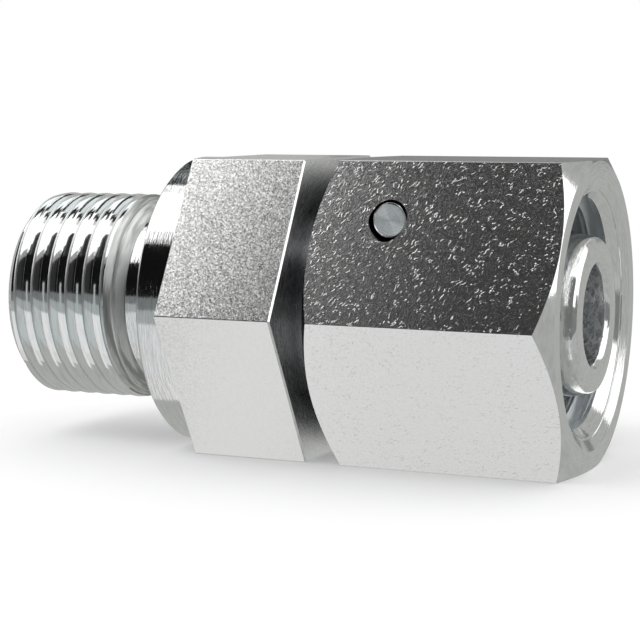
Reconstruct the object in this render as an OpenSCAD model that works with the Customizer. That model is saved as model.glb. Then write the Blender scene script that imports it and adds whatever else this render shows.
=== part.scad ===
// Male stud connector with a pinned swivel nut, light series, tube outside diameter 12.
// The origin is on the axis, in the plane of the collar's sealing face.
// +X runs from the stud towards the swivel nut, and the spanner flats face up and down.

/* [Spanner flats] */
// Across flats of both hexagons
across_flats = 22; // [21:0.5:27]
// Length of the hexagon on the stud body
hex_len = 9; // [6:0.5:14]
// Bevel along the hexagon's edge that faces the nut
hex_edge_break = 0.2; // [0.1:0.05:0.5]

/* [Stud end] */
// Outside diameter of the stud thread
stud_thread_d = 16; // [14:0.5:17]
// Length of the stud from the sealing face to its end
stud_len = 13.1; // [10:0.1:20]
// 45 degree chamfer at the start of the stud thread
stud_chamfer = 0.7; // [0.3:0.05:1.1]
// Depth of the relief behind the thread, below the thread's outside
relief_depth = 1.15; // [0.9:0.05:1.4]
// Length of the relief, from the sealing face to the end of the thread
relief_len = 4.5; // [2.5:0.1:6]
// Angle of the relief's shoulder from the axis
relief_shoulder_angle = 40; // [30:5:80]

/* [Collar and stud seal] */
// Width of the collar
collar_len = 2.5; // [2.2:0.1:4]
// How far the collar's rim lies inside the flats of the bar it is turned from
collar_inset = 0.05; // [0.05:0.05:0.5]
// Chamfer of the collar's rim at the sealing face
collar_chamfer = 0.2; // [0.1:0.05:0.4]
// How far the seal recess reaches outside the stud thread
seal_reach = 1.55; // [1.2:0.05:1.8]
// Thickness of the stud seal, which is also the depth of its recess
seal_thickness = 1.5; // [1:0.1:1.9]
// Bevel of the stud seal's outer edge
seal_bevel = 0.35; // [0.1:0.05:0.6]
// Radial clearance between the stud seal and the rim outside it
seal_rim_clearance = 0.1; // [0.05:0.05:0.3]
// Radial clearance between the stud seal and the neck inside it
seal_neck_clearance = 0.05; // [0.05:0.05:0.3]

/* [Bore] */
// Diameter of the flow bore through the body
bore_d = 7.2; // [6:0.1:8]
// How far the bore's mouths open outwards
bore_mouth_flare = 0.2; // [0.1:0.05:0.5]
// Length of each mouth
bore_mouth_len = 0.35; // [0.2:0.05:0.8]

/* [Swivel nut] */
// Gap between the hexagon and the nut
nut_gap = 1.7; // [1:0.1:4]
// Length of the nut
nut_len = 18.1; // [16:0.1:24]
// Angle of the nut's corner chamfers from its end faces
nut_chamfer_angle = 30; // [20:5:35]
// How far each end face of the nut lies inside the flats
nut_face_inset = 0.05; // [0:0.05:0.5]
// Outside diameter of the nut's thread
nut_thread_d = 18; // [17.5:0.1:19]
// Pitch of the nut's thread
nut_thread_pitch = 1.5; // [1:0.25:1.5]
// How far the nut's mouth opens beyond the thread's outside
mouth_flare = 0.68; // [0.3:0.02:0.9]
// How far the edge between the two lead-in cones lies inside the thread's outside
lead_edge_inset = 0.15; // [0.05:0.05:0.4]
// Angle of the outer lead-in cone from the axis
outer_lead_angle = 62; // [50:1:70]
// Angle of the inner lead-in cone from the axis
inner_lead_angle = 38; // [30:1:45]
// Length of the undercut behind the nut's thread
undercut_len = 1.6; // [1:0.1:2.5]
// Depth of the undercut beyond the thread's outside
undercut_depth = 0.2; // [0.1:0.05:0.5]
// Chamfer where the nut's rear bore meets its rear face
rear_bore_chamfer = 0.3; // [0.1:0.05:0.6]

/* [Shank and sealing cone] */
// Diameter of the shank on which the nut turns
shank_d = 14; // [13.6:0.1:14.6]
// Radial clearance between the shank and the nut
swivel_clearance = 0.1; // [0.05:0.05:0.25]
// Half angle of the sealing cone
cone_half_angle = 12; // [11:0.5:14]
// Diameter of the cone's end face
tip_d = 10.8; // [10.4:0.1:11.2]
// How far the bevel round the cone's end face widens it
tip_bevel_rise = 0.18; // [0.1:0.02:0.3]
// Length of that bevel
tip_bevel_len = 0.3; // [0.2:0.05:0.6]
// How far the cone's end stands out of the nut
tip_stand_out = 0; // [-1:0.1:1]

/* [Cone O-ring] */
// Thickness of the O-ring
oring_thickness = 1.5; // [1.2:0.1:1.7]
// Distance of the O-ring from the cone's end face
oring_setback = 3.6; // [2.6:0.1:4.4]
// How far the O-ring stands proud of the cone
oring_proud = 0.3; // [0.15:0.05:0.5]
// Clearance on each side of the O-ring in its groove
oring_side_clearance = 0.25; // [0.1:0.05:0.4]
// Clearance under the O-ring
oring_seat_clearance = 0.02; // [0.01:0.01:0.05]

/* [Retaining pins] */
// Diameter of the retaining pins
pin_d = 2.5; // [2:0.1:2.8]
// Chamfer at both ends of a pin
pin_chamfer = 0.14; // [0.05:0.01:0.3]
// Distance of the pins from the nut's rear face
pin_setback = 5.5; // [4:0.1:7]
// Depth of a pin's axis below the shank's surface
pin_inset = 0.05; // [0:0.05:0.2]
// Depth of a pin's outer end below the nut's flat, at its axis
pin_recess = 0.4; // [0.2:0.05:0.8]
// Depth of a pin's inner end below the flat at the far side, at its axis
pin_far_depth = 1.98; // [1.3:0.02:3]
// Radial clearance of a pin in the nut
pin_bore_clearance = 0.16; // [0.05:0.01:0.2]
// Clearance of a pin in the body's race
race_clearance = 0.2; // [0.1:0.05:0.3]
// Clearance beyond a pin's inner end
pin_end_clearance = 0.2; // [0.1:0.05:0.4]
// Metal left between a pin and the undercut of the thread
pin_wall = 0.7; // [0.5:0.1:2]

/* [Hidden] */
$fn = 96;
// Overshoot of a cutter past the face that it opens
cut = 1;
// Thread form of a 60 degree metric thread: share of the pitch from outside to inside, on the diameter
thread_depth_share = 1.0825;
// Half of the point angle of the drill that makes the pin bores
drill_half_angle = 59;
// Half of the angle between two neighbouring flats of a hexagon
hex_half_angle = 30;

// Radii of the stud end
stud_r = stud_thread_d / 2;
relief_r = stud_r - relief_depth;
relief_shoulder_len = relief_depth / tan(relief_shoulder_angle);

// Radii of the collar and its recess
collar_r = across_flats / 2 - collar_inset;
recess_r = stud_r + seal_reach;

// Radius over the corners of both hexagons
corner_r = across_flats / 2 / cos(hex_half_angle);

// Places along the axis
hex_x = collar_len;
nut_x = hex_x + hex_len + nut_gap;
nut_front_x = nut_x + nut_len;
tip_x = nut_front_x + tip_stand_out;
pin_x = nut_x + pin_setback;

// Retaining pins and their race
shank_r = shank_d / 2;
pin_axis_r = shank_r - pin_inset;
pin_bore_r = pin_d / 2 + pin_bore_clearance;
race_r = pin_d / 2 + race_clearance;
flat_at_pin = (across_flats / 2 - pin_axis_r * sin(hex_half_angle)) / cos(hex_half_angle);
pin_outer_y = flat_at_pin - pin_recess;
pin_inner_y = flat_at_pin - pin_far_depth;
pin_len = pin_outer_y + pin_inner_y;

// Inside of the nut
rear_bore_r = shank_r + swivel_clearance;
thread_r = nut_thread_d / 2;
thread_minor_r = thread_r - thread_depth_share * nut_thread_pitch / 2;
undercut_x = pin_x + pin_bore_r + pin_wall;
mouth_r = thread_r + mouth_flare;
lead_edge_r = thread_r - lead_edge_inset;
outer_lead_len = (mouth_r - lead_edge_r) / tan(outer_lead_angle);
inner_lead_len = (lead_edge_r - thread_minor_r) / tan(inner_lead_angle);
nut_face_r = across_flats / 2 - nut_face_inset;

// Sealing cone and its O-ring
cone_end_r = tip_d / 2 + tip_bevel_rise;
cone_end_x = tip_x - tip_bevel_len;
cone_start_x = cone_end_x - (shank_r - cone_end_r) / tan(cone_half_angle);
oring_x = tip_x - oring_setback;
oring_outer_r = cone_end_r + (cone_end_x - oring_x) * tan(cone_half_angle) + oring_proud;
oring_section_r = oring_thickness / 2;
oring_groove_r = oring_outer_r - oring_thickness - oring_seat_clearance;
oring_groove_len = oring_thickness + 2 * oring_side_clearance;

// A solid turned about the X axis, from points of radius and place along the axis
module turned(points) {
    rotate([0, 90, 0])
        rotate_extrude() polygon(points);
}

// A ring turned about the X axis with a rectangular section
module turned_ring(inner_r, outer_r, x, len) {
    turned([[inner_r, x], [outer_r, x], [outer_r, x + len], [inner_r, x + len]]);
}

// A ring turned about the X axis with a round section
module round_ring(ring_r, section_r, x) {
    rotate([0, 90, 0])
        rotate_extrude() translate([ring_r, x]) circle(r = section_r);
}

// A hexagonal bar along X with flats above and below
module hexagon_bar(x, len) {
    translate([x, 0, 0])
        rotate([0, 90, 0])
            linear_extrude(height = len) rotate(90) circle(r = corner_r, $fn = 6);
}

// Stud thread, relief, collar, shank and cone as one turned outline
module turned_body() {
    turned([
        [0, -stud_len],
        [stud_r - stud_chamfer, -stud_len],
        [stud_r, -stud_len + stud_chamfer],
        [stud_r, -relief_len],
        [relief_r, -relief_len + relief_shoulder_len],
        [relief_r, seal_thickness],
        [recess_r, seal_thickness],
        [recess_r, 0],
        [collar_r - collar_chamfer, 0],
        [collar_r, collar_chamfer],
        [collar_r, collar_len],
        [shank_r, collar_len],
        [shank_r, cone_start_x],
        [cone_end_r, cone_end_x],
        [tip_d / 2, tip_x],
        [0, tip_x]
    ]);
}

// Small bevels along the hexagon's six edges that face the nut
module hexagon_edge_breaks() {
    side = hex_edge_break * sqrt(2);
    for (turn = [0 : 2 * hex_half_angle : 359])
        rotate([turn, 0, 0])
            translate([hex_x + hex_len, 0, across_flats / 2])
                rotate([0, 45, 0])
                    cube([side, 2 * corner_r, side], center = true);
}

// Flow bore with a flared mouth at each end
module flow_bore() {
    bore_r = bore_d / 2;
    flare_r = bore_r + bore_mouth_flare;
    turned([
        [0, -stud_len - cut],
        [flare_r, -stud_len - cut],
        [flare_r, -stud_len],
        [bore_r, -stud_len + bore_mouth_len],
        [bore_r, tip_x - bore_mouth_len],
        [flare_r, tip_x],
        [flare_r, tip_x + cut],
        [0, tip_x + cut]
    ]);
}

// Round race in which the retaining pins run
module pin_race() {
    round_ring(pin_axis_r, race_r, pin_x);
}

// Groove that holds the O-ring on the sealing cone
module oring_groove() {
    turned_ring(oring_groove_r, shank_r + cut, oring_x - oring_groove_len / 2, oring_groove_len);
}

module stud_body() {
    color("silver")
        difference() {
            union() {
                turned_body();
                hexagon_bar(hex_x, hex_len);
            }
            hexagon_edge_breaks();
            flow_bore();
            pin_race();
            oring_groove();
        }
}

// Outside of the nut: its hexagon with the corners turned off at both ends
module nut_blank() {
    rim_r = corner_r + cut;
    chamfer_len = (rim_r - nut_face_r) * tan(nut_chamfer_angle);
    intersection() {
        hexagon_bar(nut_x, nut_len);
        turned([
            [0, nut_x],
            [nut_face_r, nut_x],
            [rim_r, nut_x + chamfer_len],
            [rim_r, nut_front_x - chamfer_len],
            [nut_face_r, nut_front_x],
            [0, nut_front_x]
        ]);
    }
}

// Inside of the nut: rear bore, undercut, thread bore and the two lead-in cones
module nut_inside() {
    turned([
        [0, nut_x - cut],
        [rear_bore_r + rear_bore_chamfer + cut, nut_x - cut],
        [rear_bore_r, nut_x + rear_bore_chamfer],
        [rear_bore_r, undercut_x],
        [thread_r + undercut_depth, undercut_x],
        [thread_r + undercut_depth, undercut_x + undercut_len],
        [thread_minor_r, undercut_x + undercut_len + thread_r + undercut_depth - thread_minor_r],
        [thread_minor_r, nut_front_x - outer_lead_len - inner_lead_len],
        [lead_edge_r, nut_front_x - outer_lead_len],
        [mouth_r, nut_front_x],
        [mouth_r, nut_front_x + cut],
        [0, nut_front_x + cut]
    ]);
}

// Blind bore for the upper pin, drilled from the front flat along +Y
module pin_bore() {
    bore_end_y = pin_inner_y + pin_end_clearance;
    translate([pin_x, 0, pin_axis_r])
        rotate([-90, 0, 0])
            rotate_extrude()
                polygon([
                    [0, -across_flats],
                    [pin_bore_r, -across_flats],
                    [pin_bore_r, bore_end_y],
                    [0, bore_end_y + pin_bore_r / tan(drill_half_angle)]
                ]);
}

module swivel_nut() {
    color("lightgray")
        difference() {
            nut_blank();
            nut_inside();
            pin_bore();
            rotate([180, 0, 0]) pin_bore();
        }
}

// Upper pin: a plain dowel with chamfered ends, parallel to Y
module retaining_pin() {
    pin_r = pin_d / 2;
    color("darkgray")
        translate([pin_x, -pin_outer_y, pin_axis_r])
            rotate([-90, 0, 0])
                rotate_extrude()
                    polygon([
                        [0, 0],
                        [pin_r - pin_chamfer, 0],
                        [pin_r, pin_chamfer],
                        [pin_r, pin_len - pin_chamfer],
                        [pin_r - pin_chamfer, pin_len],
                        [0, pin_len]
                    ]);
}

module retaining_pin_front() {
    retaining_pin();
}

// Lower pin: the same dowel put in from the other side
module retaining_pin_rear() {
    rotate([180, 0, 0]) retaining_pin();
}

module cone_o_ring() {
    color("dimgray")
        round_ring(oring_outer_r - oring_section_r, oring_section_r, oring_x);
}

// Soft ring in the collar's recess, flush with the sealing face
module stud_seal_ring() {
    inner_r = relief_r + seal_neck_clearance;
    outer_r = recess_r - seal_rim_clearance;
    color("dimgray")
        turned([
            [inner_r, 0],
            [outer_r - seal_bevel, 0],
            [outer_r, seal_bevel],
            [outer_r, seal_thickness],
            [inner_r, seal_thickness]
        ]);
}

stud_body();
swivel_nut();
retaining_pin_front();
retaining_pin_rear();
cone_o_ring();
stud_seal_ring();
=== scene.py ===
# %% [markdown]
# # Male stud connector with a pinned swivel nut
#
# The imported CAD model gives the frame: bodies, joint and sizes. This scene makes the finished
# pieces over it, with the threads, edges and surfaces that the real fitting shows. Shapes are made
# in millimetres and end up in metres.

# %% Setup
from math import cos, pi, radians, sin, sqrt, tan

import bmesh
import bpy
from mathutils import Matrix, Vector


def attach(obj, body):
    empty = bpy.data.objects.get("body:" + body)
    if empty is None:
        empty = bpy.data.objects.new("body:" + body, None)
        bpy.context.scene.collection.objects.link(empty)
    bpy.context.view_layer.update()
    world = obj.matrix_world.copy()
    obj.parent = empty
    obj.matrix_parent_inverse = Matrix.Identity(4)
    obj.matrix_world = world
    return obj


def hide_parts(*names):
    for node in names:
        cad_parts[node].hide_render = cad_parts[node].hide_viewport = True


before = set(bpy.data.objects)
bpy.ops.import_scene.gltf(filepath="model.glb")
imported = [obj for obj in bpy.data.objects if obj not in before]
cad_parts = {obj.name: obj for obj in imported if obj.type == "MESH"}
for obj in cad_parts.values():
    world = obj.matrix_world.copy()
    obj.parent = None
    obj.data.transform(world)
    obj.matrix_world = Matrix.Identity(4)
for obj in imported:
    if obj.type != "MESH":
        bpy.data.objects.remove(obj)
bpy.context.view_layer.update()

# %% [markdown]
# ## Camera
#
# It stands where the photograph was taken from: low, to the right of the part's front, with a long
# lens. The place was solved from both hexagons and from the circles of the mouth, bore and stud.

# %% Camera
camera_place = Vector((0.06318, -0.12365, 0.01472))
camera_target = Vector((0.009883, 0.0, -0.001296))
camera_roll = radians(-0.098)

lens = bpy.data.cameras.new("camera")
lens.sensor_width = 36
lens.lens = 100.58
lens.clip_start = 0.01
camera = bpy.data.objects.new("camera", lens)
bpy.context.scene.collection.objects.link(camera)
look = (camera_target - camera_place).to_track_quat("-Z", "Y").to_matrix().to_4x4()
camera.matrix_world = Matrix.Translation(camera_place) @ look @ Matrix.Rotation(camera_roll, 4, "Z")
bpy.context.scene.camera = camera
print("camera", camera_place, "lens", lens.lens)

# %% [markdown]
# ## Shape helpers
#
# Most faces of a fitting come off a lathe, so the main helper spins an outline about the X axis.
# Its rims are then rolled over a little, as plating and handling leave them. Holes, grooves and
# threads are cut with exact Booleans, as the real ones are cut into the bar.

# %% Shape helpers
SPIN_STEPS = 180


def as_object(name, bm):
    mesh = bpy.data.meshes.new(name)
    bm.to_mesh(mesh)
    bm.free()
    made = bpy.data.objects.new(name, mesh)
    bpy.context.scene.collection.objects.link(made)
    return made


def round_rims(bm, width, sharper_than=12):
    rims = [e for e in bm.edges if e.calc_face_angle(0) > radians(sharper_than)]
    bmesh.ops.bevel(bm, geom=rims, offset=width, segments=2, profile=0.5, affect="EDGES",
                    material=-1, clamp_overlap=True)


def turned(outline, closed=True, rim=0.0, steps=SPIN_STEPS):
    bm = bmesh.new()
    verts = [bm.verts.new((x, r, 0)) for x, r in outline]
    ends = verts[1:] + (verts[:1] if closed else [])
    edges = [bm.edges.new(pair) for pair in zip(verts, ends)]
    bmesh.ops.spin(bm, geom=verts + edges, cent=(0, 0, 0), axis=(1, 0, 0), angle=2 * pi,
                   steps=steps, use_merge=True)
    bmesh.ops.remove_doubles(bm, verts=bm.verts, dist=1e-4)
    bmesh.ops.recalc_face_normals(bm, faces=bm.faces)
    if rim:
        round_rims(bm, rim)
    return bm


def turned_ring(x, ring_r, section_r, steps=SPIN_STEPS, sides=32):
    bm = bmesh.new()
    bmesh.ops.create_circle(bm, segments=sides, radius=section_r)
    bmesh.ops.translate(bm, verts=bm.verts, vec=(x, ring_r, 0))
    bmesh.ops.spin(bm, geom=bm.verts[:] + bm.edges[:], cent=(0, 0, 0), axis=(1, 0, 0),
                   angle=2 * pi, steps=steps, use_merge=True)
    bmesh.ops.remove_doubles(bm, verts=bm.verts, dist=1e-4)
    bmesh.ops.recalc_face_normals(bm, faces=bm.faces)
    return bm


# %% [markdown]
# Both hexagons start as bar: a six-sided circle is pulled along the axis, and
# its long edges are broken a little.

# %% Hexagon bar
def hexagon_bar(x, length, edge):
    bm = bmesh.new()
    bmesh.ops.create_circle(bm, cap_ends=True, segments=6, radius=corner_r)
    made = bmesh.ops.extrude_face_region(bm, geom=bm.faces[:])
    moved = [v for v in made["geom"] if isinstance(v, bmesh.types.BMVert)]
    bmesh.ops.translate(bm, verts=moved, vec=(0, 0, length))
    turn = Matrix.Rotation(radians(90), 4, "Y")
    bmesh.ops.transform(bm, matrix=Matrix.Translation((x, 0, 0)) @ turn, verts=bm.verts)
    bmesh.ops.recalc_face_normals(bm, faces=bm.faces)
    long_edges = [e for e in bm.edges if abs(e.verts[0].co.x - e.verts[1].co.x) > length / 2]
    bmesh.ops.bevel(bm, geom=long_edges, offset=edge, segments=3, profile=0.5, affect="EDGES",
                    material=-1)
    return bm


# %% [markdown]
# A thread cutter is the groove's section, spun round the axis while it moves
# along by the pitch. Its ends are closed, and it is turned right side out.

# %% Thread cutter
def helix_groove(section, x, pitch, turns, steps=72):
    bm = bmesh.new()
    verts = [bm.verts.new((x + dx, r, 0)) for dx, r in section]
    face = bm.faces.new(verts)
    count = int(steps * turns)
    bmesh.ops.spin(bm, geom=verts + face.edges[:] + [face], cent=(0, 0, 0), axis=(1, 0, 0),
                   dvec=(pitch / steps, 0, 0), angle=2 * pi * count / steps, steps=count)
    open_edges = [e for e in bm.edges if e.is_boundary]
    if open_edges:
        bmesh.ops.holes_fill(bm, edges=open_edges)
    bmesh.ops.recalc_face_normals(bm, faces=bm.faces)
    if bm.calc_volume(signed=True) < 0:
        bmesh.ops.reverse_faces(bm, faces=bm.faces)
    return bm


# %% [markdown]
# Pieces are cut and joined by exact Booleans. The result becomes the piece's mesh,
# and the cutter is thrown away. A cutter keeps off the radius of every face of
# the piece, or the cut can fail.

# %% Cut and join
def combine(target, bm, operation="DIFFERENCE"):
    tool = as_object("tool", bm)
    step = target.modifiers.new("step", "BOOLEAN")
    step.operation, step.solver, step.object = operation, "EXACT", tool
    result = target.evaluated_get(bpy.context.evaluated_depsgraph_get())
    mesh = bpy.data.meshes.new_from_object(result)
    target.modifiers.clear()
    old, target.data = target.data, mesh
    mesh.name = target.name
    bpy.data.meshes.remove(old)
    tool_mesh = tool.data
    bpy.data.objects.remove(tool)
    bpy.data.meshes.remove(tool_mesh)


# %% [markdown]
# Finishing gives each face its surface, keeps real edges sharp and brings the
# piece to metres. It also hangs the piece on the body it rides on and hides the CAD
# node it stands for. Weighted normals keep broad flats flat beside rolled edges.

# %% Finish a piece
def finish_piece(piece, body, replaced, materials, choose=None, flat_area=20, sharp=26):
    bm = bmesh.new()
    bm.from_mesh(piece.data)
    piece.data.materials.clear()
    for material in materials:
        piece.data.materials.append(material)
    bmesh.ops.remove_doubles(bm, verts=bm.verts, dist=1e-4)
    bmesh.ops.recalc_face_normals(bm, faces=bm.faces)
    for face in bm.faces:
        face.smooth = True
        if choose:
            face.material_index = choose(face.calc_center_median(), face.normal)
    for edge in bm.edges:
        angle = edge.calc_face_angle(0)
        beside_flat = max(f.calc_area() for f in edge.link_faces) > flat_area
        edge.smooth = not (angle > radians(sharp) or (beside_flat and angle > radians(3)))
    bmesh.ops.scale(bm, vec=(0.001, 0.001, 0.001), verts=bm.verts)
    bm.to_mesh(piece.data)
    bm.free()
    shading = piece.modifiers.new("shading", "WEIGHTED_NORMAL")
    shading.keep_sharp = True
    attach(piece, body)
    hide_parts(replaced)
    low, high = (Vector([f(v.co[i] for v in piece.data.vertices) for i in range(3)]) * 1000
                 for f in (min, max))
    print(piece.name, len(piece.data.polygons), "faces", [round(c, 2) for c in low],
          [round(c, 2) for c in high])


# %% [markdown]
# ## Material helpers
#
# A shader is written as a sum, so that it reads like one: Signal wraps a socket and turns + - * /
# into nodes, and Graph.node makes every other node.


# %% Material helpers
class Signal:
    def __init__(self, graph, socket):
        self.graph, self.socket = graph, socket

    def __add__(self, other):
        return self.graph.combine("ADD", self, other)

    def __radd__(self, other):
        return self.graph.combine("ADD", other, self)

    def __sub__(self, other):
        return self.graph.combine("SUBTRACT", self, other)

    def __rsub__(self, other):
        return self.graph.combine("SUBTRACT", other, self)

    def __mul__(self, other):
        return self.graph.combine("MULTIPLY", self, other)

    def __rmul__(self, other):
        return self.graph.combine("MULTIPLY", other, self)

    def __truediv__(self, other):
        return self.graph.combine("DIVIDE", self, other)

    def __pow__(self, other):
        return self.graph.combine("POWER", self, other)


class Graph:
    def __init__(self, owner):
        self.tree = owner.node_tree
        self.tree.nodes.clear()

    def feed(self, socket, value):
        if isinstance(value, Signal):
            self.tree.links.new(value.socket, socket)
        else:
            socket.default_value = value

    def node(self, kind, settings=None, sockets=None, output=0):
        made = self.tree.nodes.new("ShaderNode" + kind)
        for key, value in (settings or {}).items():
            setattr(made, key, value)
        for key, value in (sockets or {}).items():
            self.feed(made.inputs[key], value)
        return Signal(self, made.outputs[output]) if len(made.outputs) else made

    def combine(self, operation, a, b):
        vector = any(isinstance(s, tuple) or (isinstance(s, Signal) and s.socket.type != "VALUE")
                     for s in (a, b))
        kind = "VectorMath" if vector else "Math"
        return self.node(kind, {"operation": operation}, {0: a, 1: b})

    def ramp(self, value, low, high, to_low=0.0, to_high=1.0):
        return self.node("MapRange", {"interpolation_type": "SMOOTHSTEP"}, {
            "Value": value, "From Min": low, "From Max": high, "To Min": to_low, "To Max": to_high})

    def mix(self, factor, a, b):
        return self.node("Mix", {"data_type": "RGBA"}, {0: factor, 6: a, 7: b}, output=2)

    def noise(self, vector, scale, detail=2.0, roughness=0.5, distortion=0.0):
        return self.node("TexNoise", {}, {"Vector": vector, "Scale": scale, "Detail": detail,
                                          "Roughness": roughness, "Distortion": distortion})

    def root(self, value):
        return self.node("Math", {"operation": "SQRT"}, {0: value})

    def place(self):
        """Object coordinates in millimetres."""
        coordinates = self.node("TexCoord", output=3)
        return self.node("Mapping", {}, {"Vector": coordinates, "Scale": (1000, 1000, 1000)})

    def split(self, vector):
        made = self.tree.nodes.new("ShaderNodeSeparateXYZ")
        self.feed(made.inputs[0], vector)
        return [Signal(self, s) for s in made.outputs]

    def vector(self, x, y, z):
        return self.node("CombineXYZ", {}, {0: x, 1: y, 2: z})

    def lathe(self, place, fine, around):
        """Coordinates that run fast across the tool marks and slowly along them."""
        x, y, z = self.split(place)
        radius = self.root(y * y + z * z)
        across = (x + radius * 0.9) * fine
        return self.vector(across, y / radius * around, z / radius * around)

    def bump(self, height, distance, strength=1.0, normal=None):
        sockets = {"Height": height, "Distance": distance, "Strength": strength}
        if normal:
            sockets["Normal"] = normal
        return self.node("Bump", {}, sockets)


def metal(name, build):
    material = bpy.data.materials.new(name)
    material.use_nodes = True
    graph = Graph(material)
    sockets = build(graph, graph.place())
    shader = graph.node("BsdfPrincipled", {}, {"Metallic": 1.0, **sockets})
    graph.node("OutputMaterial", {}, {"Surface": shader})
    return material


# %% [markdown]
# ## Metal finishes
#
# All steel pieces are zinc plated: a pale, slightly cool metal. What differs is the surface under
# the plate. Turned faces and threads keep fine rings, which the lathe coordinates draw: they run fast
# across the tool's marks and slowly along them.

# %% Metal finishes
ZINC = (0.86, 0.865, 0.86, 1)
ZINC_DARK = (0.74, 0.745, 0.74, 1)
ZINC_LIGHT = (0.9, 0.9, 0.895, 1)


def turned_finish(graph, place):
    marks = graph.noise(graph.lathe(place, 7.0, 9.0), 1.0, 3.0, 0.6)
    fine = graph.noise(graph.lathe(place, 22.0, 5.0), 1.0, 2.0)
    return {
        "Base Color": graph.mix(graph.ramp(marks, 0.3, 0.7), ZINC_DARK, ZINC),
        "Roughness": graph.ramp(fine, 0.2, 0.8, 0.05, 0.12),
        "Normal": graph.bump(marks, 0.000016, 0.5),
    }


def thread_finish(graph, place):
    marks = graph.noise(graph.lathe(place, 5.0, 4.0), 1.0, 3.0, 0.6)
    return {
        "Base Color": graph.mix(graph.ramp(marks, 0.3, 0.6), ZINC_DARK, ZINC),
        "Roughness": graph.ramp(marks, 0.2, 0.8, 0.07, 0.12),
        "Normal": graph.bump(marks, 0.000006, 0.5),
    }


# %% [markdown]
# The stud's hexagon is blasted, so it sparkles like fine sand. A bump from noise
# gives worm-like marks here. Instead, each cell of a Voronoi pattern tips the
# normal its own way, as a pit does, and mirrors its own spot of the studio.

# %% Blasted finish
def blasted_finish(graph, place):
    pits = graph.node("TexVoronoi", {}, {"Vector": place, "Scale": 10.5}, output=1)
    tip = 0.052
    face = graph.node("NewGeometry", output=1)
    tilted = face + (pits - (0.5, 0.5, 0.5)) * (tip, tip, tip)
    grains = graph.noise(place, 12.0, 1.0)
    return {
        "Base Color": graph.mix(graph.ramp(grains, 0.35, 0.6), (0.85, 0.85, 0.84, 1),
                                (0.92, 0.92, 0.91, 1)),
        "Roughness": graph.ramp(grains, 0.3, 0.7, 0.18, 0.24),
        "Normal": graph.node("VectorMath", {"operation": "NORMALIZE"}, {0: tilted}),
    }


# %% [markdown]
# The nut is cut from drawn bar and keeps the skin of it: a fine crinkle, with
# small dents and scratches that come in patches. One bump adds them up.

# %% Drawn finish
def drawn_finish(graph, place):
    warp = graph.node("TexNoise", {}, {"Vector": place, "Scale": 1.6, "Detail": 2.0}, output=1)
    x, y, z = graph.split(place + (warp - (0.5, 0.5, 0.5)) * (0.9, 0.9, 0.9))
    crinkle = graph.noise(place, 5.0, 2.0, 0.6, 0.3)
    patches = graph.ramp(graph.noise(place, 1.1, 2.0), 0.4, 0.6, 0.25, 1.0)
    dots = graph.node("TexVoronoi", {}, {"Vector": place, "Scale": 2.9})
    dots = graph.ramp(dots, 0.05, 0.2, 1.0, 0.0) * patches
    along = graph.vector((x + z) * 1.3, (x - z) * 4.2, y * 1.5)
    scratches = graph.node("TexVoronoi", {}, {"Vector": along, "Scale": 1.0})
    scratches = graph.ramp(scratches, 0.06, 0.36, 1.0, 0.0) * patches
    return {
        "Base Color": graph.mix(graph.ramp(crinkle, 0.3, 0.6), (0.84, 0.84, 0.835, 1), ZINC_LIGHT),
        "Roughness": graph.ramp(crinkle, 0.3, 0.7, 0.13, 0.19),
        "Normal": graph.bump(crinkle * 0.25 + dots * 0.4 + scratches * 0.36, 0.000028, 0.8),
    }


# %% [markdown]
# The drilled bore is cloudy. The end faces in the gap between the hexagons are
# painted darker near the shank: painted shade of the narrow gap. The nut's inside is paler than its
# outside.

# %% Inner finishes
def bore_finish(graph, place):
    marks = graph.noise(graph.lathe(place, 3.0, 7.0), 1.0, 4.0, 0.65, 0.3)
    return {
        "Base Color": graph.mix(graph.ramp(marks, 0.3, 0.6), (0.68, 0.7, 0.72, 1),
                                (0.97, 0.98, 0.99, 1)),
        "Roughness": graph.ramp(marks, 0.3, 0.7, 0.2, 0.35),
        "Normal": graph.bump(marks, 0.00008, 0.6),
    }


def shaded_finish(graph, place):
    marks = graph.noise(graph.lathe(place, 9.0, 6.0), 1.0, 3.0, 0.6)
    x, y, z = graph.split(place)
    radius = graph.root(y * y + z * z)
    # Painted shade: the colour darkens towards the shank, deep in the gap between the hexagons.
    painted_gap_shade = graph.ramp(radius, 8.4, 11.3) + (marks - 0.5) * 0.08
    return {
        "Base Color": graph.mix(painted_gap_shade, (0.2, 0.205, 0.215, 1), (1.0, 1.0, 1.0, 1)),
        "Roughness": graph.ramp(marks, 0.3, 0.7, 0.22, 0.34),
        "Normal": graph.bump(marks, 0.000002, 0.5),
    }


def inner_finish(graph, place):
    marks = graph.noise(graph.lathe(place, 5.0, 4.0), 1.0, 3.0, 0.6)
    return {
        "Base Color": graph.mix(marks, (0.78, 0.82, 0.84, 1), (0.92, 0.95, 0.97, 1)),
        "Roughness": graph.ramp(marks, 0.3, 0.7, 0.32, 0.46),
        "Normal": graph.bump(marks, 0.00002, 0.5),
    }


# %% [markdown]
# The relief beside the stud's thread and the thread's creases are cut by a
# coarser tool, which leaves them dull and streaked round the axis. Their darker
# colour is painted shade: from the collar over the relief, and in the narrow creases.

# %% Relief finishes
def relief_finish(graph, place):
    marks = graph.noise(graph.lathe(place, 9.0, 1.3), 1.0, 3.0, 0.6)
    streaks = graph.ramp(marks, 0.38, 0.62)
    return {
        # The dark end of this mix is painted shade from the collar.
        "Base Color": graph.mix(streaks, (0.34, 0.35, 0.34, 1), (0.82, 0.83, 0.82, 1)),
        "Roughness": graph.ramp(marks, 0.3, 0.7, 0.36, 0.5),
        "Normal": graph.bump(marks, 0.00003, 0.8),
    }


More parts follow.
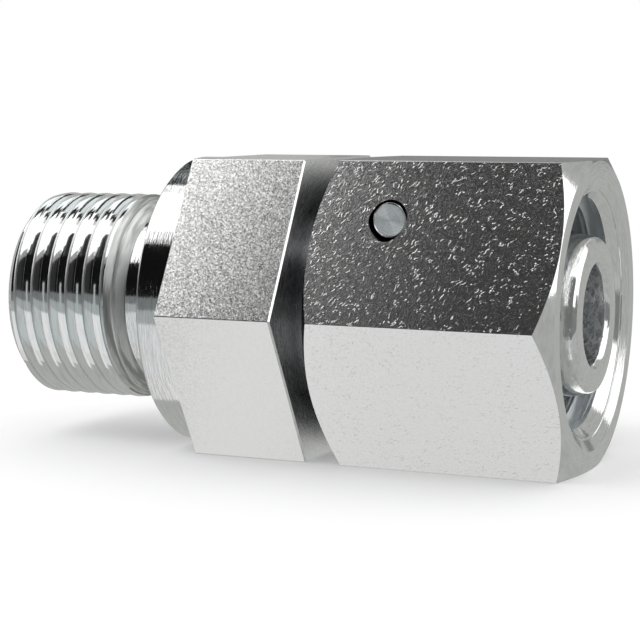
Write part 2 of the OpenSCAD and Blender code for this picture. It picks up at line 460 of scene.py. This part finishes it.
def crease_finish(graph, place):
    marks = graph.noise(graph.lathe(place, 9.0, 6.0), 1.0, 3.0, 0.6)
    return {
        # The darker tone is painted shade in the narrow creases.
        "Base Color": graph.mix(marks, (0.66, 0.67, 0.67, 1), (0.84, 0.85, 0.85, 1)),
        "Roughness": graph.ramp(marks, 0.3, 0.7, 0.3, 0.42),
        "Normal": graph.bump(marks, 0.00001, 0.5),
    }


# %% Steel materials
turned_steel = metal("turned_steel", turned_finish)
crease_steel = metal("crease_steel", crease_finish)
relief_steel = metal("relief_steel", relief_finish)
inner_steel = metal("inner_steel", inner_finish)
shaded_steel = metal("shaded_steel", shaded_finish)
thread_steel = metal("thread_steel", thread_finish)
blasted_steel = metal("blasted_steel", blasted_finish)
drawn_steel = metal("drawn_steel", drawn_finish)
bore_steel = metal("bore_steel", bore_finish)
print(len(bpy.data.materials), "materials with the frame's own")


# %% [markdown]
# The pin's end is faced on a lathe and keeps fine rings. Its sheen in two opposite
# sectors is a painted highlight in its colour. The soft rings are black rubber with a faint skin.

# %% Pin and rubber finishes
def pin_finish(graph, place):
    x, y, z = graph.split(place)
    height = graph.node("Math", {"operation": "ABSOLUTE"}, {0: z}) - pin_axis_r
    across = x - pin_x
    radius = graph.root(across * across + height * height)
    rings = graph.vector((y + radius) * 24.0, across / radius * 0.3, height / radius * 0.3)
    marks = graph.noise(rings, 1.0, 2.0)
    # Painted highlight: two opposite sectors of the pin's end are lighter in colour.
    painted_sheen = (across - height) / radius
    painted_sheen = graph.ramp(painted_sheen * painted_sheen, 1.2, 2.0)
    return {
        "Base Color": graph.mix(painted_sheen * 0.8 + marks * 0.2, (0.8, 0.81, 0.82, 1),
                                (1.0, 1.0, 1.0, 1)),
        "Roughness": graph.ramp(marks, 0.3, 0.7, 0.14, 0.22),
        "Normal": graph.bump(marks, 0.000006, 1.0),
    }


def rubber_finish(graph, place):
    skin = graph.noise(place, 6.0, 3.0)
    return {
        "Metallic": 0.0,
        "Base Color": graph.mix(skin, (0.012, 0.012, 0.013, 1), (0.035, 0.035, 0.036, 1)),
        "Roughness": graph.ramp(skin, 0.3, 0.7, 0.45, 0.65),
        "Normal": graph.bump(skin, 0.00003, 0.4),
    }


# %% [markdown]
# ## Stud body
#
# The real body is turned from one hexagonal bar. The lathe outline carries the stud, the relief
# groove, the collar with the recess of its soft seal, the shank, the 24 degree sealing cone with
# its O-ring groove and the bore. The hexagon is joined to it, and the pins' race and the M16x1.5
# thread are cut.

# %% Stud body
across_flats = 22.0
corner_r = across_flats / 2 / cos(radians(30))
hex_x, hex_end_x = 2.5, 11.5
stud_end_x, tip_x = -13.1, 31.3
stud_r, relief_r = 8.0, 6.85
collar_r, recess_r = 10.95, 9.55
bore_r = 3.6
shank_r = 7.0
nut_x, nut_front_x = 13.2, 31.3
pin_x, pin_axis_r, pin_r = 18.7, 6.95, 1.25
race_r = 1.45
cone_end_x, cone_end_r = 31.0, 5.58


def cone_r(x):
    return cone_end_r + (cone_end_x - x) * tan(radians(12))


oring_x, oring_section_r = 27.7, 0.75
oring_ring_r = cone_r(oring_x) + 0.3 - oring_section_r
groove_r = oring_ring_r - oring_section_r - 0.02
cone_start_x = cone_end_x - (shank_r - cone_end_r) / tan(radians(12))

# %% [markdown]
# The outline is drawn once, from the stud's end round the outside to the tip and back at the bore. A
# lathe would follow it in the same order.

# %% Body blank
body_outline = [
    (stud_end_x, bore_r + 0.2), (stud_end_x, stud_r - 0.68), (stud_end_x + 0.68, stud_r),
    (-4.5, stud_r), (-3.95, 7.53), (-3.87, 7.51), (-3.1, relief_r), (1.5, relief_r),
    (1.5, recess_r), (0, recess_r), (0, collar_r - 0.2), (0.2, collar_r),
    (hex_x + 0.2, collar_r), (hex_x + 0.2, shank_r),
    (cone_start_x, shank_r), (oring_x - 1, cone_r(oring_x - 1)), (oring_x - 1, groove_r),
    (oring_x + 1, groove_r), (oring_x + 1, cone_r(oring_x + 1)), (cone_end_x, cone_end_r),
    (tip_x, 5.4), (tip_x, bore_r + 0.2), (tip_x - 0.35, bore_r), (stud_end_x + 0.35, bore_r),
]
stud_body = as_object("stud_body_finished", turned(body_outline, rim=0.05))
hexagon = hexagon_bar(hex_x, hex_end_x - hex_x, 0.08)
nut_side = [e for e in hexagon.edges if all(v.co.x > hex_end_x - 0.01 for v in e.verts)]
bmesh.ops.bevel(hexagon, geom=nut_side, offset=0.12, segments=1, profile=0.5, affect="EDGES",
                material=-1)
combine(stud_body, hexagon, "UNION")
bore = turned([(-20, 0), (-20, bore_r), (40, bore_r), (40, 0)], closed=False)
combine(stud_body, bore)
combine(stud_body, turned_ring(pin_x, pin_axis_r, race_r))

# %% [markdown]
# The thread is a groove wound on a helix of 1.5 mm pitch, right-hand. The cutter is hollow on both
# sides, so the ridges between its turns come out broad and rounded, with a narrow crease between
# them, as the photograph shows.

# %% Stud thread
pitch, crease_half, crease_r = 1.5, 0.12, 7.8
ridge_r, ridge_drop = 7.985, 0.075
stud_thread_start, stud_thread_turns = -15.88, 8.2
ridge_half = pitch / 2 - crease_half
ridge_curve = (ridge_half ** 2 + ridge_drop ** 2) / 2 / ridge_drop
half_section = [(pitch / 2 - 0.01, stud_r + 0.4)]
for t in (0.01, 0.14, 0.27, 0.4, 0.52, ridge_half):
    half_section.append((pitch / 2 - t, ridge_r - ridge_curve + sqrt(ridge_curve ** 2 - t * t)))
half_section.append((0.04, crease_r))
groove_section = [(-dx, r) for dx, r in half_section] + half_section[::-1]
combine(stud_body, helix_groove(groove_section, stud_thread_start, pitch, stud_thread_turns))


# %% [markdown]
# Each face of the body gets its finish by where it lies: bore, hexagon flats,
# thread ridges and creases, relief, and the faces in the gap.

# %% Body finishes
def body_part(centre, normal):
    radius = sqrt(centre.y ** 2 + centre.z ** 2)
    if radius < bore_r + 0.05 and abs(normal.x) < 0.5:
        return 3
    if hex_x - 0.01 < centre.x < hex_end_x - 0.001 and abs(normal.x) < 0.3 and radius > 10.96:
        return 1
    if centre.x < -4.45 and radius > 6.86:
        return 2 if radius > ridge_r - ridge_drop - 0.012 or radius < 7.7 else 6
    if centre.x < -3.0 and radius > 6.86:
        return 5
    # Faces in the gap get shaded_steel, which carries painted shade.
    return 4 if hex_end_x - 0.01 < centre.x < nut_x + 0.5 else 0


finish_piece(stud_body, "connector_body", "stud_body",
             [turned_steel, blasted_steel, thread_steel, bore_steel, shaded_steel,
              relief_steel, crease_steel], body_part)

# %% [markdown]
# ## Swivel nut
#
# A hexagon nut with both faces turned off at 30 degrees. Inside are the rear bore that rides on
# the shank, an undercut, the M18x1.5 thread and a mouth with two lead-in cones. Two blind bores
# from opposite flats hold the retaining pins tangentially to the race.

# %% Swivel nut
nut_face_r = 10.95
envelope_r = corner_r + 1
chamfer_len = (envelope_r - nut_face_r) * tan(radians(30))
thread_minor_r, rear_bore_r, undercut_r, mouth_r = 8.188, 7.1, 9.2, 9.68
nut_thread_start, nut_thread_turns = 21.9, 5.5
pin_bore_r, pin_bore_end, drill_point, drill_len = 1.41, 6.91, 0.847, 22
lead_edge_x, lead_end_x = 30.859, 30.011
undercut_x = 20.81

swivel_nut = as_object("swivel_nut_finished", hexagon_bar(nut_x, nut_front_x - nut_x, 0.045))
envelope = turned([
    (nut_x, 0), (nut_x, nut_face_r), (nut_x + chamfer_len, envelope_r),
    (nut_front_x - chamfer_len, envelope_r), (nut_front_x, nut_face_r), (nut_front_x, 0),
], closed=False)
combine(swivel_nut, envelope, "INTERSECT")
inside = turned([
    (nut_x - 1, 0), (nut_x - 1, 8.4), (nut_x + 0.3, rear_bore_r), (undercut_x, rear_bore_r),
    (undercut_x, undercut_r), (undercut_x + 1.6, undercut_r),
    (undercut_x + 2.612, thread_minor_r), (lead_end_x, thread_minor_r),
    (lead_edge_x - 0.07, 8.795), (lead_edge_x - 0.02, 8.93), (lead_edge_x + 0.05, 8.944),
    (nut_front_x, mouth_r), (nut_front_x + 1, mouth_r), (nut_front_x + 1, 0),
], closed=False)
combine(swivel_nut, inside)

# %% [markdown]
# The nut's thread has plain 60 degree flanks, cut from inside by the same kind of cutter.

# %% Nut thread
nut_groove = [
    (-0.64, 8.0), (-0.64, 8.19), (-0.16, 8.99), (0.16, 8.99), (0.64, 8.19), (0.64, 8.0),
]
thread_cutter = helix_groove(nut_groove, nut_thread_start, pitch, nut_thread_turns)
combine(swivel_nut, thread_cutter)


# %% [markdown]
# The pin bores are drilled blind: a cylinder with the drill's point. The second is
# the first, turned half round the axis.

# %% Pin bores
def pin_bore():
    bm = bmesh.new()
    bmesh.ops.create_cone(bm, cap_ends=True, segments=72, radius1=pin_bore_r,
                          radius2=pin_bore_r, depth=drill_len)
    bmesh.ops.translate(bm, verts=bm.verts, vec=(0, 0, pin_bore_end - drill_len / 2))
    tip = [f for f in bm.faces if f.normal.z > 0.9]
    point = bmesh.ops.extrude_face_region(bm, geom=tip)
    tip_verts = [v for v in point["geom"] if isinstance(v, bmesh.types.BMVert)]
    bmesh.ops.translate(bm, verts=tip_verts, vec=(0, 0, drill_point))
    bmesh.ops.pointmerge(bm, verts=tip_verts, merge_co=(0, 0, pin_bore_end + drill_point))
    bmesh.ops.delete(bm, geom=[f for f in tip if f.is_valid], context="FACES_ONLY")
    turn = Matrix.Rotation(radians(-90), 4, "X")
    place = Matrix.Translation((pin_x, 0, pin_axis_r))
    bmesh.ops.transform(bm, matrix=place @ turn, verts=bm.verts)
    bmesh.ops.recalc_face_normals(bm, faces=bm.faces)
    return bm


for half_turn in (0, 180):
    drill = pin_bore()
    bmesh.ops.transform(drill, matrix=Matrix.Rotation(radians(half_turn), 4, "X"),
                        verts=drill.verts)
    combine(swivel_nut, drill)


# %% [markdown]
# Only the six flats keep the bar's skin. Everything else on the nut is turned.

# %% Nut finishes
def nut_part(centre, normal):
    radius = sqrt(centre.y ** 2 + centre.z ** 2)
    if abs(normal.x) < 0.02 and radius > 10.9:
        return 1
    if undercut_x - 0.01 < centre.x < lead_end_x - 0.02 and radius < 9.3:
        return 3
    # The rear face in the gap gets shaded_steel, which carries painted shade.
    return 2 if centre.x < nut_x + 0.5 and radius < nut_face_r else 0


finish_piece(swivel_nut, "nut_assembly", "swivel_nut",
             [turned_steel, drawn_steel, shaded_steel, inner_steel], nut_part)

# %% [markdown]
# ## Retaining pins
#
# Plain dowels with chamfered ends, one from each side.

# %% Retaining pins
pin_outer_y, pin_inner_y = 8.289, 6.709
pin_len = pin_outer_y + pin_inner_y
pin_steel = metal("pin_steel", pin_finish)

for name, node, half_turn in (("retaining_pin_front_finished", "retaining_pin_front", 0),
                              ("retaining_pin_rear_finished", "retaining_pin_rear", 180)):
    bm = bmesh.new()
    bmesh.ops.create_cone(bm, cap_ends=True, segments=72, radius1=pin_r, radius2=pin_r,
                          depth=pin_len)
    ends = [e for e in bm.edges if abs(e.verts[0].co.z - e.verts[1].co.z) < 1e-3]
    bmesh.ops.bevel(bm, geom=ends, offset=0.14, segments=2, profile=0.5, affect="EDGES",
                    material=-1)
    place = Matrix.Translation((pin_x, (pin_inner_y - pin_outer_y) / 2, pin_axis_r))
    turn = Matrix.Rotation(radians(half_turn), 4, "X")
    bmesh.ops.transform(bm, matrix=turn @ place @ Matrix.Rotation(radians(-90), 4, "X"),
                        verts=bm.verts)
    finish_piece(as_object(name, bm), "nut_assembly", node, [pin_steel],
                 flat_area=3)

# %% [markdown]
# ## Soft rings
#
# The O-ring of the cone and the flat seal ring of the collar are black rubber.

# %% Soft rings
rubber = metal("seal_rubber", rubber_finish)
o_ring = as_object("cone_o_ring_finished", turned_ring(oring_x, oring_ring_r, oring_section_r))
finish_piece(o_ring, "connector_body", "cone_o_ring", [rubber])
seal_inner_r, seal_outer_r = relief_r + 0.05, recess_r - 0.1
seal = turned([(0, seal_inner_r), (0, seal_outer_r - 0.35), (0.35, seal_outer_r),
               (1.5, seal_outer_r), (1.5, seal_inner_r)], rim=0.06)
finish_piece(as_object("stud_seal_ring_finished", seal), "connector_body",
             "stud_seal_ring", [rubber])

# %% [markdown]
# ## Studio
#
# The part lies on a plain white floor. What bright metal shows is its surroundings, so arched cards
# stand round the part's axis and are only mirrored. Softboxes are above, a black flag is across the
# front, and pale cards stand for the floor. Each card spans a stretch along the axis, as a share of
# the radius, and a stretch of degrees round it, from the front over the top.

# %% Studio
CARD_RADIUS = 0.5


def glow(name, colour, level):
    material = bpy.data.materials.new(name)
    material.use_nodes = True
    graph = Graph(material)
    light = graph.node("Emission", {}, {"Color": (*colour, 1), "Strength": level})
    graph.node("OutputMaterial", {}, {"Surface": light})
    return material


def mirrored_only(card, material):
    card.data.materials.append(material)
    card.visible_camera = False
    card.visible_diffuse = False
    card.visible_shadow = False


def card(name, along, around, level, colour=(1, 1, 1), radius=CARD_RADIUS):
    """A card from along[0] to along[1] of the radius in x, and around[0] to [1] in degrees."""
    bm = bmesh.new()
    count = 12
    steps = [along[0] + (along[1] - along[0]) * i / count for i in range(count + 1)]
    start = radians(-180 - around[0])
    verts = [bm.verts.new((radius * s, radius * sqrt(1 - s * s) * cos(start),
                           radius * sqrt(1 - s * s) * sin(start))) for s in steps]
    edges = [bm.edges.new(pair) for pair in zip(verts, verts[1:])]
    bmesh.ops.spin(bm, geom=verts + edges, cent=(0, 0, 0), axis=(1, 0, 0),
                   angle=radians(around[0] - around[1]),
                   steps=max(4, int(abs(around[1] - around[0]) / 3)))
    mirrored_only(as_object(name, bm), glow(name, colour, level))


COOL = (0.93, 1.0, 1.01)
GREENISH = (0.985, 1.0, 0.965)
WHITE, BLACK = 1.7, 0.006
card("flag_front", (-0.62, 0.06), (5, 46), BLACK)
card("flag_front_left", (-0.98, -0.62), (5, 46), 0.03)
card("grey_left", (-0.98, -0.56), (46, 56), 0.34)
for along, low, level in (((-0.98, -0.56), 56, 0), ((-0.56, -0.48), 49, BLACK),
                          ((-0.48, -0.455), 52, BLACK), ((-0.455, -0.395), 58.5, BLACK),
                          ((-0.395, -0.355), 70, 0.12), ((-0.355, -0.325), 71, 0.085),
                          ((-0.325, -0.295), 72, 0.055), ((-0.295, -0.15), 73, 0.03),
                          ((-0.15, 0.06), 62, 0.03)):
    if level:
        card("flag_upper", along, (46, low), level)
    card("softbox", along, (low, 84), WHITE)
for along, streak, end, level in (((-0.98, -0.75), (116, 134), 140, WHITE),
                                  ((-0.75, -0.6), (113, 130), 150, WHITE),
                                  ((-0.6, -0.49), (100, 118), 150, WHITE),
                                  ((-0.49, -0.43), (107, 157), 158, WHITE),
                                  ((-0.43, -0.3), (95, 103), 140, 1.2),
                                  ((-0.3, -0.15), (90, 98), 130, 0.7),
                                  ((-0.15, 0.06), (84.5, 92), 112, 0.6)):
    card("softbox_middle", along, (84, streak[0]), level)
    card("streak", along, streak, 0.02)
    card("softbox_top", along, (streak[1], end), 0.75 * level, COOL)
card("back_left", (-0.98, -0.37), (160, 200), 0.47, GREENISH)
card("back_middle", (-0.37, 0.34), (160, 180), 0.24)
card("horizon", (-0.98, 0.06), (-5, 5), 0.2, COOL)
card("horizon_low", (-0.98, 0.06), (-16, -5), 0.43, COOL)
card("floor_front", (-0.98, -0.48), (-61, -16), 0.58, COOL)
card("floor_middle", (-0.48, -0.25), (-61, -16), 0.85)
card("floor_bright", (-0.25, 0.06), (-61, -16), 0.84, COOL)
card("floor_near_left", (-0.48, -0.395), (-84, -61), 0.88)
card("floor_near", (-0.395, 0.06), (-76, -61), 0.75)
card("pin_front", (-0.37, -0.27), (-14, 16), 0.5, COOL, 0.49)
card("cone_low", (0.06, 0.2), (-62, -14), 1.4)
card("cone_dark", (0.06, 0.2), (-14, 26), 0.05)
card("cone_grey", (0.06, 0.2), (26, 62), 0.26, COOL)
card("cone_top", (0.06, 0.2), (62, 108), 0.7, COOL)
card("softbox_right", (0.2, 0.98), (62, 126), 1.6)
card("softbox_right_top", (0.655, 0.98), (126, 165), 1.6)
card("softbox_right_low", (0.6, 0.81), (20, 62), 1.6)
card("softbox_right_end", (0.81, 0.98), (46, 62), 1.6)
card("grey_right", (0.2, 0.6), (-30, 62), 0.19)
card("grey_right_low", (0.6, 0.98), (-30, 20), 0.23)
card("grey_right_end", (0.81, 0.98), (20, 46), 0.24)
card("floor_right", (0.2, 0.98), (-52, -30), 0.52)
# %% Surround
surround = bmesh.new()
bmesh.ops.create_uvsphere(surround, u_segments=48, v_segments=24, radius=0.6)
mirrored_only(as_object("surround", surround), glow("surround", GREENISH, 0.46))

# %% [markdown]
# The floor turns from paper that takes the part's shadow into plain white further out, so that it has
# no edge. The room is white all round, with one large soft lamp at the upper left.

# %% Floor, room and lamp
floor_bm = bmesh.new()
bmesh.ops.create_circle(floor_bm, cap_ends=True, segments=64, radius=3)
bmesh.ops.translate(floor_bm, verts=floor_bm.verts, vec=(0, 0, -0.01101))
floor = as_object("floor", floor_bm)
floor.visible_glossy = False

paper = bpy.data.materials.new("paper")
paper.use_nodes = True
graph = Graph(paper)
x, y, z = graph.split(graph.node("TexCoord", output=3))
away = graph.root(x * x + y * y)
sheet = graph.node("BsdfPrincipled", {}, {"Base Color": (0.96, 0.96, 0.96, 1), "Roughness": 0.9})
white = graph.node("Emission", {}, {"Color": (1, 1, 1, 1), "Strength": 1.0})
fade = graph.ramp(away, 0.03, 0.09, 0.25, 1.0)
both = graph.node("MixShader", {}, {0: fade, 1: sheet, 2: white})
graph.node("OutputMaterial", {}, {"Surface": both})
floor.data.materials.append(paper)

world = bpy.data.worlds.new("studio")
world.use_nodes = True
bpy.context.scene.world = world
graph = Graph(world)
path = graph.tree.nodes.new("ShaderNodeLightPath")
seen = Signal(graph, path.outputs["Is Camera Ray"])
for ray in ("Is Glossy Ray", "Is Transmission Ray"):
    seen = graph.combine("MAXIMUM", seen, Signal(graph, path.outputs[ray]))
room_level = 0.96
sky = graph.node("Background", {}, {"Color": (1, 1, 1, 1),
                                    "Strength": seen * (1 - room_level) + room_level})
graph.node("OutputWorld", {}, {"Surface": sky})

lamp = bpy.data.lights.new("key", "AREA")
lamp.size = 0.35
lamp.energy = 1.0
key = bpy.data.objects.new("key", lamp)
key.visible_glossy = False
key.matrix_world = Matrix.Translation((-0.2, -0.3, 0.5)) @ (
    Vector((0.21, 0.3, -0.5)).to_track_quat("-Z", "Y").to_matrix().to_4x4())
bpy.context.scene.collection.objects.link(key)

bpy.context.scene.view_settings.view_transform = "Standard"
